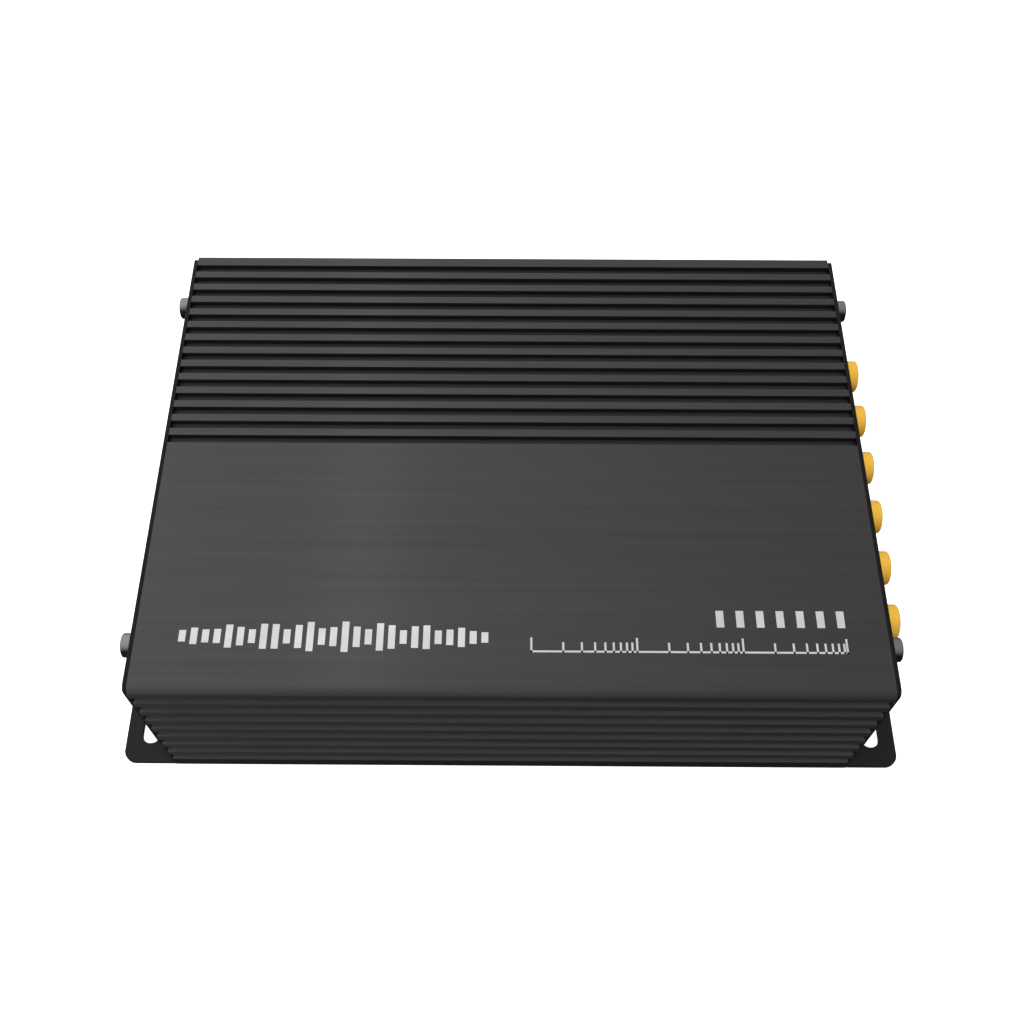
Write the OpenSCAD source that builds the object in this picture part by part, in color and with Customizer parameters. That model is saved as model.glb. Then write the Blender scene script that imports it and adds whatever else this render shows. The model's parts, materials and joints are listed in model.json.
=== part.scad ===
// A compact multi-channel car amplifier with built-in signal processing.
// It stands on its bottom plate. The origin is at the centre of the footprint,
// X runs along the length, -Y is the front face and +Z is up. Millimetres.

/* [Body] */
// Length between the outer faces of the two end plates
body_l = 166; // [164:1:172]
// Depth from the front face to the rear face
body_d = 120.9; // [120.9:0.5:124.9]
// How much further from the middle the front face is than the rear face
front_extra = 0.9; // [0.6:0.1:1]
// Height above the surface that it stands on
body_h = 49; // [48:1:54]
// Radius of the rounded edge between the top and the front
front_edge_r = 2; // [0.5:0.25:3]
// Radius of the edge between the top and the rear
rear_edge_r = 0.2; // [0.2:0.1:1]

/* [Heatsink] */
// Number of cooling grooves in the rear half of the top
top_groove_n = 14; // [6:1:14]
// Distance from one top groove to the next
top_groove_pitch = 4.05; // [3.8:0.05:4.1]
// Width of a top groove
top_groove_w = 2.05; // [1.5:0.05:2.3]
// Depth of a top groove
top_groove_deep = 1.5; // [1:0.1:2.4]
// Distance from the rear face to the first top groove
top_groove_start = 2.75; // [2:0.05:4]
// Number of grooves in the front wall, and in the rear wall
wall_groove_n = 8; // [4:1:8]
// Distance from one wall groove to the next
wall_groove_pitch = 5.29; // [5:0.01:5.3]
// Width of a wall groove
wall_groove_w = 3.1; // [2:0.1:3.3]
// Depth of a wall groove
wall_groove_deep = 1.8; // [0.8:0.1:2]
// Height of the lowest wall groove's ledge
wall_groove_start = 5.5; // [3:0.1:5.6]
// Thickness of the rear wall. The front wall is thicker by the extra depth
wall_t = 4; // [3.5:0.1:4.5]
// Thickness of the top wall
top_t = 4.5; // [4.2:0.1:5]

/* [End plates and screws] */
// Thickness of the end plates
plate_t = 1; // [0.8:0.1:1.2]
// How far an end plate's rear edge is set in from the rear face
plate_inset = 0.9; // [0:0.1:1]
// Radius of an end plate's upper front corner
plate_corner_r = 1.75; // [0.5:0.25:3]
// How far the front face stands out past the end plates and the bottom plate
face_step = 0.55; // [0:0.05:0.8]
// Distance of the upper end screws from the middle of the depth
upper_screw_y = 47.5; // [46:0.5:48]
// Height of the upper end screws
upper_screw_z = 43.4; // [42:0.1:43.6]
// Distance of the lower end screws from the middle of the depth
lower_screw_y = 51; // [50.5:0.1:51.5]
// Height of the lower end screws
lower_screw_z = 6.5; // [6:0.1:7]

/* [Bottom plate] */
// Thickness of the bottom plate and its ears
bottom_t = 1.5; // [1.2:0.1:1.6]
// How far an ear stands out from the end plate
ear_reach = 12.3; // [11:0.1:15]
// Length of an ear along the depth
ear_l = 19; // [17:0.5:24]
// Radius of an ear's outer corners
ear_corner_r = 3; // [1:0.5:4]
// Width of an ear's slot
slot_w = 4.5; // [4.2:0.1:5]
// Length of an ear's slot from end to end
slot_l = 9; // [8:0.5:11]
// Distance of the slot's centre line from the end plate
slot_offset = 6.3; // [5.8:0.1:6.6]
// Distance of the slot's outer end from the plate's front or rear edge
slot_margin = 4.8; // [4.5:0.1:5.5]

/* [Phono sockets] */
// Number of phono sockets in the right end
rca_n = 6; // [2:2:6]
// Distance from one phono socket to the next
rca_pitch = 14.42; // [14:0.01:14.6]
// Place of the rearmost phono socket along the depth
rca_first_y = 39.4; // [38:0.1:39.5]
// Height of the phono sockets' axis
rca_z = 26; // [24:0.1:28]
// Radius of a phono socket's barrel
rca_r = 4.15; // [4.1:0.05:4.2]
// How far a barrel stands out from the end plate
rca_reach = 9.1; // [8:0.1:10]

/* [Boards] */
// Height of the standoffs under the main board
standoff_h = 6; // [5:0.5:6]
// Thickness of the boards
board_t = 1.6; // [1.2:0.1:1.6]
// Height of the gap between the main board and the processor board
header_h = 11; // [9:0.5:13]

/* [Left end] */
// Width of the harness socket
harness_w = 34; // [32:1:34]
// Height of the harness socket
harness_h = 16; // [15:0.5:17]
// Place of the harness socket along the depth
harness_y = 18; // [17.5:0.5:19]
// Place of the fuse along the depth
fuse_y = -17; // [-18:0.5:-16]
// Place of the data socket along the depth
data_y = -38; // [-39:0.5:-37]

/* [Hidden] */
$fn = 48;

// Overshoot of a cutter past the face that it cuts.
over = 0.01;
// Play between pieces that touch without being fitted.
play = 0.05;

half_l = body_l / 2;
half_d = (body_d - front_extra) / 2;
front_d = half_d + front_extra;
inner_l = half_l - plate_t;
ceiling_z = body_h - top_t;
inner_d = half_d - wall_t;

// Metric M3 screws: thread and hole radii, and the sizes of a socket cap head.
m3_r = 1.4;
m3_hole_r = 1.45;
m3_clear_r = 1.7;
cap_head_r = 2.75;
cap_head_h = 3;
cap_round_r = 0.4;
hex_key_r = 1.44;
hex_key_deep = 1.6;
end_screw_l = 10;

// Foot rails inside the shell, and the flat pad that the power chips bear on.
rail_w = 9;
rail_top_z = 10.5;
pad_t = 5;
pad_top_z = 31;
boss_r = 3.5;
bottom_screw_x = 60;
bottom_screw_l = 6.5;
countersink_r = 2.9;

slot_x = half_l + slot_offset;
plate_front_d = front_d - face_step;
slot_y = plate_front_d - slot_margin - slot_l / 2;

// Boards: the main board lies on the standoffs, the processor board above it.
board_z = bottom_t + standoff_h;
board_top_z = board_z + board_t;
board_x = inner_l - 0.3;
board_y = 46;
standoff_xs = [-70, 0, 57];
standoff_y = 40;
standoff_places = [for (x = standoff_xs, side = [-1, 1]) [x, side * standoff_y]];
dsp_x = 28;
dsp_y = -10;
dsp_l = 56;
dsp_w = 44;
dsp_z = board_top_z + header_h;
header_pin_n = 12;
header_pitch = 2.54;
header_w = 5;

// Power chips: two flat packages that stand against the pad on the rear wall.
ic_l = 29.2;
ic_h = 15.7;
ic_t = 4.5;
ic_z = 13;
ic_x = [-46, 8];
thermal_t = 0.5;
ic_back_y = inner_d - pad_t - thermal_t;
ic_pin_n = 25;
ic_pin_pitch = 1.0;
clamp_t = 3;
clamp_z = ic_z + 6;
clamp_h = 8;
clamp_screw_x = [-51, -4.4, 42];
clamp_x = [-56, 47];

// Phono sockets.
rca_flange_r = 5.4;
rca_flange_t = 1;
rca_wall_t = 0.55;
rca_tip_r = 0.5;
rca_face_x = inner_l - rca_flange_t;
rca_end_x = half_l + rca_reach;
rca_hole_r = rca_r + 0.65;
rca_housing_deep = 15;
rca_housing_top = 34;
rca_ys = [for (i = [0:rca_n - 1]) rca_first_y - i * rca_pitch];
contact_r = 2.1;
contact_bore_r = 1.62;
contact_l = 8.3;
contact_mouth_r = 1.8;
insulator_recess = 0.4;
tail_r = 0.5;
tail_x = rca_face_x - 8;
leg_x = inner_l - 1.9;
leg_w = 1.6;
leg_t = 0.8;
leg_step_z = rca_z - rca_flange_r + 0.4;
leg_step_h = 1.2;

// Harness socket.
harness_out = 1.5;
harness_l = 20;
harness_wall = 1.6;
harness_deep = 16;
harness_z = board_top_z + play + harness_h / 2;
harness_pin_n = 10;
harness_pin_pitch = 2.8;
harness_row = 1.8;
harness_pin_s = 1;
harness_pin_l = 8;

// Blade fuse, standard size: 19.1 wide, 5.1 thick, 18.5 long over the blades.
fuse_z = harness_z;
fuse_w = 19.1;
fuse_t = 5.1;
fuse_cap_l = 12.3;
fuse_blade_l = 6.2;
fuse_blade_w = 5.2;
fuse_blade_t = 0.65;
fuse_blade_y = 6.9;
fuse_out = 4.5;
fuse_gap = 0.35;
holder_w = 24;
holder_h = harness_h - 3;
holder_l = 22;
holder_out = 1;
clip_t = 0.4;

// Data socket and lamp.
data_w = 7.7;
data_h = 3.9;
data_l = 9.2;
data_out = 0.3;
data_wall = 0.4;
lamp_r = 1.5;
lamp_y = (fuse_y - holder_w / 2 + data_y + data_w / 2) / 2;
lamp_z = harness_z;
lamp_l = 5;
lamp_out = 0.8;

// ---------------------------------------------------------------- helpers

// Extrudes an outline, drawn with Y across and Z up, along X.
module along_x(from, length) {
    translate([from, 0, 0])
        rotate([90, 0, 90])
            linear_extrude(length)
                children();
}

// A rod that runs along +X from a point.
module rod_x(at, r, length) {
    translate(at)
        rotate([0, 90, 0])
            cylinder(r = r, h = length);
}

// A block that is given by its lowest corner and its highest corner.
module block(low, high) {
    translate(low)
        cube(high - low);
}

// What a round corner takes off a square one. The square corner is at the
// origin, and the body lies towards side_x and side_y, each 1 or -1.
module corner_waste(r, side_x, side_y) {
    difference() {
        scale([side_x, side_y])
            translate([-over, -over])
                square(r + over);
        translate([side_x * r, side_y * r])
            circle(r);
    }
}

// A rectangle with round corners, centred on the origin.
module round_rect(x, y, r) {
    square([x, y - 2 * r], center = true);
    square([x - 2 * r, y], center = true);
    for (sx = [-1, 1], sy = [-1, 1])
        translate([sx * (x / 2 - r), sy * (y / 2 - r)])
            circle(r);
}

// A slot that runs along Y, centred on the origin.
module slot_outline(width, length) {
    square([width, length - width], center = true);
    for (s = [-1, 1])
        translate([0, s * (length - width) / 2])
            circle(width / 2);
}

// A socket cap screw along +Z: its head stands above the origin and its
// shank goes down.
module cap_screw(shank_l) {
    difference() {
        rotate_extrude()
            difference() {
                square([cap_head_r, cap_head_h]);
                translate([cap_head_r, cap_head_h])
                    corner_waste(cap_round_r, -1, -1);
            }
        translate([0, 0, cap_head_h - hex_key_deep])
            cylinder(r = hex_key_r, h = hex_key_deep + over, $fn = 6);
    }
    translate([0, 0, -shank_l])
        cylinder(r = m3_r, h = shank_l + over);
}

// A pan head screw along +Z with a cross slot: its head stands above the
// origin.
module pan_screw(shank_l) {
    head_r = 2.7;
    head_h = 2;
    slot_w = 0.7;
    slot_deep = 1;
    difference() {
        cylinder(r = head_r, h = head_h);
        for (turn = [0, 90])
            rotate([0, 0, turn])
                translate([-head_r * 0.6, -slot_w / 2, head_h - slot_deep])
                    cube([head_r * 1.2, slot_w, slot_deep + over]);
    }
    translate([0, 0, -shank_l])
        cylinder(r = m3_r, h = shank_l + over);
}

// A standing electrolytic capacitor on the main board.
module capacitor(x, y, r, h) {
    groove_z = 2.5;
    groove_r = 0.4;
    vent_deep = 0.3;
    lead_l = board_t + 1.5;
    translate([x, y, board_top_z + play]) {
        difference() {
            rotate_extrude()
                difference() {
                    square([r, h]);
                    translate([r, groove_z])
                        circle(groove_r);
                    translate([r, h])
                        corner_waste(0.6, -1, -1);
                }
            for (turn = [0, 90])
                rotate([0, 0, turn])
                    translate([-r * 0.6, -0.2, h - vent_deep])
                        cube([r * 1.2, 0.4, vent_deep + over]);
        }
        for (s = [-1, 1])
            translate([s * r * 0.47, 0, -lead_l])
                cylinder(r = 0.4, h = lead_l + over);
    }
}

// Holes for a capacitor's two leads.
module capacitor_holes(x, y, r) {
    for (s = [-1, 1])
        translate([x + s * r * 0.47, y, board_z - over])
            cylinder(r = 0.6, h = board_t + 2 * over);
}

// ---------------------------------------------------------------- enclosure

// Outline from the bottom plate up to the top, with its upper corners rounded.
module envelope(front, rear, front_r) {
    difference() {
        translate([front, bottom_t])
            square([rear - front, body_h - bottom_t]);
        translate([front, body_h])
            corner_waste(front_r, 1, -1);
        translate([rear, body_h])
            corner_waste(rear_edge_r, -1, -1);
    }
}

module top_grooves() {
    for (i = [0:top_groove_n - 1])
        translate([half_d - top_groove_start - top_groove_w - i * top_groove_pitch,
                   body_h - top_groove_deep])
            square([top_groove_w, top_groove_deep + over]);
}

module wall_grooves() {
    for (face_y = [-front_d, half_d], i = [0:wall_groove_n - 1])
        translate([face_y - wall_groove_deep,
                   wall_groove_start + i * wall_groove_pitch])
            square([2 * wall_groove_deep, wall_groove_w]);
}

// Material that the cavity keeps: the screw bosses under the top, the foot
// rails and the pad for the power chips.
module inner_ribs() {
    for (side = [-1, 1]) {
        translate([side * upper_screw_y, upper_screw_z])
            circle(boss_r);
        translate([side * (inner_d - rail_w / 2), (bottom_t + rail_top_z) / 2])
            square([rail_w, rail_top_z - bottom_t + 2 * over], center = true);
    }
    translate([inner_d - pad_t, bottom_t])
        square([pad_t, pad_top_z - bottom_t]);
}

module end_screw_places() {
    for (side = [-1, 1]) {
        translate([side * upper_screw_y, upper_screw_z])
            children();
        translate([side * lower_screw_y, lower_screw_z])
            children();
    }
}

module shell_profile() {
    difference() {
        envelope(-front_d, half_d, front_edge_r);
        top_grooves();
        wall_grooves();
        difference() {
            translate([-inner_d, bottom_t - over])
                square([2 * inner_d, ceiling_z - bottom_t + over]);
            inner_ribs();
        }
        end_screw_places()
            circle(m3_hole_r);
    }
}

module heatsink_shell() {
    color([0.16, 0.16, 0.16])
        difference() {
            along_x(-inner_l, 2 * inner_l)
                shell_profile();
            for (x = [-bottom_screw_x, 0, bottom_screw_x], side = [-1, 1])
                translate([x, side * lower_screw_y, bottom_t - over])
                    cylinder(r = m3_hole_r, h = bottom_screw_l - bottom_t + 0.5);
            for (x = clamp_screw_x)
                translate([x, inner_d - pad_t - over, clamp_z + clamp_h / 2])
                    rotate([-90, 0, 0])
                        cylinder(r = m3_hole_r, h = pad_t);
        }
}

// The bottom plate reaches as far back as the front face reaches forward.
module bottom_plate() {
    color([0.14, 0.14, 0.14])
        difference() {
            linear_extrude(bottom_t)
                difference() {
                    union() {
                        translate([-half_l, -plate_front_d])
                            square([body_l, plate_front_d + front_d]);
                        for (sx = [-1, 1]) {
                            scale([sx, -1])
                                ear_outline(plate_front_d);
                            scale([sx, 1])
                                ear_outline(front_d);
                        }
                    }
                    for (sx = [-1, 1], sy = [-1, 1])
                        translate([sx * slot_x, sy * slot_y])
                            slot_outline(slot_w, slot_l);
                }
            for (x = [-bottom_screw_x, 0, bottom_screw_x], side = [-1, 1])
                translate([x, side * lower_screw_y, 0])
                    countersink();
            for (place = standoff_places)
                translate([place[0], place[1], -over])
                    cylinder(r = 2.1, h = bottom_t + 2 * over);
        }
}

// The ear at +X, +Y that ends at edge_y, with round outer corners.
module ear_outline(edge_y) {
    difference() {
        translate([half_l - over, edge_y - ear_l])
            square([ear_reach + over, ear_l]);
        translate([half_l + ear_reach, edge_y])
            corner_waste(ear_corner_r, -1, -1);
        translate([half_l + ear_reach, edge_y - ear_l])
            corner_waste(ear_corner_r, -1, 1);
    }
}

// A countersunk through hole for a screw that comes from below.
module countersink() {
    translate([0, 0, -over])
        cylinder(r1 = countersink_r + over, r2 = m3_clear_r,
                 h = countersink_r - m3_clear_r + over);
    translate([0, 0, -over])
        cylinder(r = m3_clear_r, h = bottom_t + 2 * over);
}

module plate_blank(from) {
    along_x(from, plate_t)
        difference() {
            envelope(-plate_front_d, half_d - plate_inset, plate_corner_r);
            end_screw_places()
                circle(m3_clear_r);
        }
}

module end_plate_left() {
    window_play = 0.25;
    color([0.1, 0.1, 0.1])
        difference() {
            plate_blank(-half_l);
            along_x(-half_l - over, plate_t + 2 * over) {
                translate([harness_y, harness_z])
                    round_rect(harness_w + 2 * window_play, harness_h + 2 * window_play, 1);
                translate([fuse_y, fuse_z])
                    round_rect(holder_w + 2 * window_play, holder_h + 2 * window_play, 1);
                translate([data_y, board_top_z + play + data_h / 2])
                    round_rect(data_w + 2 * window_play, data_h + 2 * window_play, 0.6);
                translate([lamp_y, lamp_z])
                    circle(lamp_r + 0.2);
            }
        }
}

module end_plate_right() {
    color([0.1, 0.1, 0.1])
        difference() {
            plate_blank(half_l - plate_t);
            for (y = rca_ys)
                rod_x([half_l - plate_t - over, y, rca_z], rca_hole_r, plate_t + 2 * over);
        }
}

// Screws through one end plate into the extrusion. side is 1 at the right.
module end_screws(side) {
    color([0.22, 0.22, 0.23])
        for (sy = [-1, 1], place = [[upper_screw_y, upper_screw_z], [lower_screw_y, lower_screw_z]])
            translate([side * half_l, sy * place[0], place[1]])
                rotate([0, side * 90, 0])
                    cap_screw(end_screw_l);
}

module end_screws_left() {
    end_screws(-1);
}

module end_screws_right() {
    end_screws(1);
}

module bottom_screws() {
    cone_h = countersink_r - m3_clear_r;
    key_w = 0.7;
    key_deep = 0.8;
    color([0.25, 0.25, 0.26])
        for (x = [-bottom_screw_x, 0, bottom_screw_x], side = [-1, 1])
            translate([x, side * lower_screw_y, 0])
                difference() {
                    union() {
                        cylinder(r1 = countersink_r - play, r2 = m3_clear_r - play, h = cone_h);
                        cylinder(r = m3_r, h = bottom_screw_l);
                    }
                    for (turn = [0, 90])
                        rotate([0, 0, turn])
                            translate([-1.6, -key_w / 2, -over])
                                cube([3.2, key_w, key_deep]);
                }
}

// ---------------------------------------------------------------- main board

module insulation_sheet() {
    sheet_t = 0.3;
    color([0.82, 0.8, 0.7])
        difference() {
            translate([-board_x + 2, -board_y + 1, bottom_t])
                cube([2 * board_x - 4, 2 * board_y - 2, sheet_t]);
            for (place = standoff_places)
                translate([place[0], place[1], bottom_t - over])
                    cylinder(r = 3.6, h = sheet_t + 2 * over);
        }
}

module standoffs() {
    hex_r = 3.18;
    foot_r = 2.08;
    color([0.85, 0.68, 0.33])
        for (place = standoff_places)
            translate([place[0], place[1], 0])
                difference() {
                    union() {
                        cylinder(r = foot_r, h = bottom_t);
                        translate([0, 0, bottom_t])
                            cylinder(r = hex_r, h = standoff_h, $fn = 6);
                    }
                    translate([0, 0, bottom_t])
                        cylinder(r = m3_hole_r, h = standoff_h + over);
                }
}

module board_screws() {
    color([0.75, 0.75, 0.76])
        for (place = standoff_places)
            translate([place[0], place[1], board_top_z])
                pan_screw(board_t + standoff_h - 1.5);
}

// Where the round capacitors stand: [x, y, radius, height].
reservoirs = [for (i = [0:2]) [-49 + 17.5 * i, 14, 8, 25]];
channel_caps = [for (x = [-50, -38, -26, -14, 12, 24, 36, 48]) [x, 30, 4, 12]];
input_caps = [for (i = [0:5]) [60, 30 - i * 11.5, 3.15, 8]];

module main_board() {
    color([0.08, 0.3, 0.16])
        difference() {
            block([-board_x, -board_y, board_z], [board_x, board_y, board_top_z]);
            for (place = standoff_places)
                translate([place[0], place[1], board_z - over])
                    cylinder(r = 1.6, h = board_t + 2 * over);
            for (c = concat(reservoirs, channel_caps, input_caps))
                capacitor_holes(c[0], c[1], c[2]);
            for (y = rca_ys) {
                translate([leg_x, y, board_z - over])
                    cylinder(r = 1.1, h = board_t + 2 * over);
                translate([tail_x, y, board_z - over])
                    cylinder(r = 0.8, h = board_t + 2 * over);
            }
            for (left_x = ic_x, row = [0, 1])
                ic_pin_hole_row(left_x, row);
        }
}

// Small surface-mounted parts under the processor board, in rows.
module small_parts() {
    color([0.55, 0.47, 0.36])
        for (row = [0:4], i = [0:6])
            translate([dsp_x - 19 + i * 6, dsp_y - 14 + row * 7, board_top_z + play]) {
                turned = (row + i) % 2 == 0;
                cube(turned ? [2, 1.25, 0.6] : [1.25, 2, 0.8]);
            }
}

// ---------------------------------------------------------------- power stage

module thermal_pads() {
    color([0.75, 0.78, 0.8])
        for (x = ic_x)
            block([x - 1, ic_back_y + play, ic_z - 1],
                  [x + ic_l + 1, ic_back_y + thermal_t, ic_z + ic_h + 1]);
}

// A power chip: a flat moulded body with a half-round notch at each end.
module power_ic(left_x) {
    notch_r = 1.9;
    color([0.07, 0.07, 0.08])
        translate([left_x, ic_back_y, ic_z])
            rotate([90, 0, 0])
                linear_extrude(ic_t)
                    difference() {
                        square([ic_l, ic_h]);
                        for (x = [0, ic_l])
                            translate([x, ic_h * 0.72])
                                circle(notch_r);
                    }
}

module power_ic_1() {
    power_ic(ic_x[0]);
}

module power_ic_2() {
    power_ic(ic_x[1]);
}

// Pins leave a power chip's lower edge and step forward, in two rows, so that
// they pass in front of the foot rail.
ic_pin_y = ic_back_y - ic_t / 2;
ic_row_y = [ic_pin_y - 3.6, ic_pin_y - 6.2];
ic_pin_s = 0.5;

function ic_pin_x(left_x, i) = left_x + ic_l / 2 + (i - (ic_pin_n - 1) / 2) * ic_pin_pitch;

module ic_pin(left_x, i) {
    down_y = ic_row_y[i % 2];
    step_z = ic_z - 1.6 - (i % 2) * 0.7;
    x = ic_pin_x(left_x, i) - ic_pin_s / 2;
    translate([x, 0, 0]) {
        block([0, ic_pin_y - ic_pin_s / 2, step_z], [ic_pin_s, ic_pin_y + ic_pin_s / 2, ic_z]);
        block([0, down_y - ic_pin_s / 2, step_z], [ic_pin_s, ic_pin_y, step_z + ic_pin_s]);
        block([0, down_y - ic_pin_s / 2, board_z - 1.2],
              [ic_pin_s, down_y + ic_pin_s / 2, step_z + over]);
    }
}

module ic_pin_hole_row(left_x, row) {
    for (i = [row:2:ic_pin_n - 1])
        translate([ic_pin_x(left_x, i), ic_row_y[row], board_z - over])
            cylinder(r = 0.45, h = board_t + 2 * over);
}

module power_ic_pins() {
    color([0.8, 0.8, 0.78])
        for (left_x = ic_x, i = [0:ic_pin_n - 1])
            ic_pin(left_x, i);
}

clamp_back_y = ic_back_y - ic_t;

module clamp_bar() {
    color([0.7, 0.71, 0.73])
        difference() {
            block([clamp_x[0], clamp_back_y - clamp_t, clamp_z],
                  [clamp_x[1], clamp_back_y - play, clamp_z + clamp_h]);
            for (x = clamp_screw_x)
                translate([x, clamp_back_y - clamp_t - over, clamp_z + clamp_h / 2])
                    rotate([-90, 0, 0])
                        cylinder(r = m3_clear_r, h = clamp_t + 2 * over);
        }
}

module clamp_screws() {
    color([0.75, 0.75, 0.76])
        for (x = clamp_screw_x)
            translate([x, clamp_back_y - clamp_t, clamp_z + clamp_h / 2])
                rotate([90, 0, 0])
                    pan_screw(11.5);
}

module reservoir_capacitor(i) {
    c = reservoirs[i];
    color([0.1, 0.11, 0.16])
        capacitor(c[0], c[1], c[2], c[3]);
}

module reservoir_capacitor_1() {
    reservoir_capacitor(0);
}

module reservoir_capacitor_2() {
    reservoir_capacitor(1);
}

module reservoir_capacitor_3() {
    reservoir_capacitor(2);
}

module channel_capacitors() {
    color([0.13, 0.13, 0.14])
        for (c = channel_caps)
            capacitor(c[0], c[1], c[2], c[3]);
}

module input_capacitors() {
    color([0.2, 0.28, 0.2])
        for (c = input_caps)
            capacitor(c[0], c[1], c[2], c[3]);
}

// Supply choke: a ring core lying on the board, with a heavy wire round it.
choke_x = -46;
choke_y = -17;
choke_out_r = 10;
choke_in_r = 6;
choke_h = 8;
wire_t = 1.2;
choke_turns = 16;
choke_z = board_top_z + play + wire_t;

module choke_core() {
    color([0.75, 0.72, 0.28])
        translate([choke_x, choke_y, choke_z])
            difference() {
                cylinder(r = choke_out_r, h = choke_h);
                translate([0, 0, -over])
                    cylinder(r = choke_in_r, h = choke_h + 2 * over);
            }
}

module choke_winding() {
    ring_w = choke_out_r - choke_in_r;
    color([0.72, 0.38, 0.18])
        for (i = [0:choke_turns - 1])
            translate([choke_x, choke_y, choke_z + choke_h / 2])
                rotate([0, 0, i * 360 / choke_turns])
                    translate([(choke_out_r + choke_in_r) / 2, wire_t / 2, 0])
                        rotate([90, 0, 0])
                            linear_extrude(wire_t)
                                difference() {
                                    round_rect(ring_w + 2 * wire_t, choke_h + 2 * wire_t, wire_t);
                                    square([ring_w + 2 * play, choke_h + 2 * play], center = true);
                                }
}

module supply_inductor() {
    color([0.3, 0.3, 0.31])
        translate([-22, -12, board_top_z + play]) {
            linear_extrude(6.5)
                round_rect(12, 12, 2);
        }
}

// Supply regulator: a flat power package with its metal tab soldered down.
module supply_regulator() {
    color([0.12, 0.12, 0.13])
        translate([-22, -32, board_top_z + play]) {
            block([-5, -4, 0.2], [5, 5, 4.4]);
            block([-5, 5 - over, 0], [5, 7, 1.3]);
            for (i = [-2:2])
                block([i * 1.7 - 0.4, -7.5, 0], [i * 1.7 + 0.4, -4 + over, 0.6]);
        }
}

// ---------------------------------------------------------------- processor

header_xs = [dsp_x - dsp_l / 2 + 4, dsp_x + dsp_l / 2 - 4];

module header_pin_places() {
    for (x = header_xs, row = [-1, 1], i = [0:header_pin_n - 1])
        translate([x + row * header_pitch / 2,
                   dsp_y + (i - (header_pin_n - 1) / 2) * header_pitch, 0])
            children();
}

module dsp_board() {
    color([0.05, 0.2, 0.32])
        difference() {
            block([dsp_x - dsp_l / 2, dsp_y - dsp_w / 2, dsp_z + play],
                  [dsp_x + dsp_l / 2, dsp_y + dsp_w / 2, dsp_z + board_t]);
            header_pin_places()
                translate([0, 0, dsp_z - over])
                    cylinder(r = 0.5, h = board_t + 2 * over);
        }
}

// A square chip with pins on all four sides, standing on a surface at z.
module quad_chip(x, y, z, side, pins) {
    body_t = 1.3;
    pin_w = 0.3;
    pitch = side * 0.85 / (pins - 1);
    translate([x, y, z]) {
        translate([0, 0, 0.1])
            linear_extrude(body_t)
                round_rect(side, side, 0.3);
        for (turn = [0:90:270], i = [0:pins - 1])
            rotate([0, 0, turn])
                block([(i - (pins - 1) / 2) * pitch - pin_w / 2, side / 2 - over, 0],
                      [(i - (pins - 1) / 2) * pitch + pin_w / 2, side / 2 + 1, 0.5]);
    }
}

module dsp_chip() {
    color([0.06, 0.06, 0.07])
        quad_chip(dsp_x, dsp_y, dsp_z + board_t + play, 14, 16);
}

module converter_chips() {
    color([0.09, 0.09, 0.1])
        for (side = [-1, 1])
            quad_chip(dsp_x + 12, dsp_y + side * 14, dsp_z + board_t + play, 7, 8);
}

module crystal() {
    color([0.78, 0.78, 0.8])
        translate([dsp_x - 12, dsp_y - 12, dsp_z + board_t + play])
            linear_extrude(3.5)
                round_rect(11, 4.6, 2.2);
}

module board_headers() {
    color([0.1, 0.1, 0.1])
        for (x = header_xs)
            difference() {
                translate([x, dsp_y, board_top_z + play])
                    linear_extrude(header_h - play)
                        square([header_w, header_pin_n * header_pitch + 1], center = true);
                header_pin_places()
                    translate([0, 0, board_top_z - over])
                        cylinder(r = 0.5, h = header_h + 2 * over);
            }
}

module header_pins() {
    pin_s = 0.64;
    color([0.86, 0.7, 0.3])
        header_pin_places()
            translate([-pin_s / 2, -pin_s / 2, board_top_z + play])
                cube([pin_s, pin_s, header_h + board_t + 1]);
}

// ---------------------------------------------------------------- phono sockets

// A moulded block behind the right end plate that carries two sockets. Each
// socket has a channel for its centre tail and a groove for its earth leg.
module rca_housing(pair) {
    ys = [rca_ys[2 * pair], rca_ys[2 * pair + 1]];
    side_y = rca_pitch / 2 - 0.15;
    color([0.08, 0.08, 0.08])
        difference() {
            block([rca_face_x - rca_housing_deep, ys[1] - side_y, board_top_z + play],
                  [rca_face_x - play, ys[0] + side_y, rca_housing_top]);
            for (y = ys) {
                block([rca_face_x - rca_housing_deep - over, y - 1.3, board_top_z],
                      [rca_face_x - 2, y + 1.3, rca_z + 1.3]);
                rod_x([rca_face_x - 2 - over, y, rca_z], 0.8, 2 + 2 * over);
                block([leg_x - 0.9, y - 1.3, board_top_z],
                      [rca_face_x + over, y + 1.3, leg_step_z + leg_step_h + 0.3]);
            }
        }
}

module rca_housing_1() {
    rca_housing(0);
}

module rca_housing_2() {
    rca_housing(1);
}

module rca_housing_3() {
    rca_housing(2);
}

// The outer shell of one phono socket: a barrel with a rounded tip, a flange
// behind the end plate and an earth leg down to the main board.
module rca_shell(i) {
    color([0.93, 0.68, 0.2])
        translate([0, rca_ys[i], 0]) {
            translate([rca_face_x, 0, rca_z])
                rotate([0, 90, 0])
                    rotate_extrude()
                        rca_barrel_outline();
            block([leg_x - leg_t / 2, -leg_w / 2, leg_step_z],
                  [rca_face_x + rca_flange_t / 2, leg_w / 2, leg_step_z + leg_step_h]);
            block([leg_x - leg_t / 2, -leg_w / 2, board_z - 1.5],
                  [leg_x + leg_t / 2, leg_w / 2, leg_step_z + over]);
        }
}

// Half section of a barrel: distance from the axis across, along the axis up.
module rca_barrel_outline() {
    length = rca_end_x - rca_face_x;
    inner_r = rca_r - rca_wall_t;
    difference() {
        translate([inner_r, 0])
            square([rca_wall_t, length]);
        translate([rca_r, length])
            corner_waste(rca_tip_r, -1, -1);
    }
    translate([inner_r, 0])
        square([rca_flange_r - inner_r, rca_flange_t - play]);
}

module rca_shell_1() {
    rca_shell(0);
}

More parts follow.
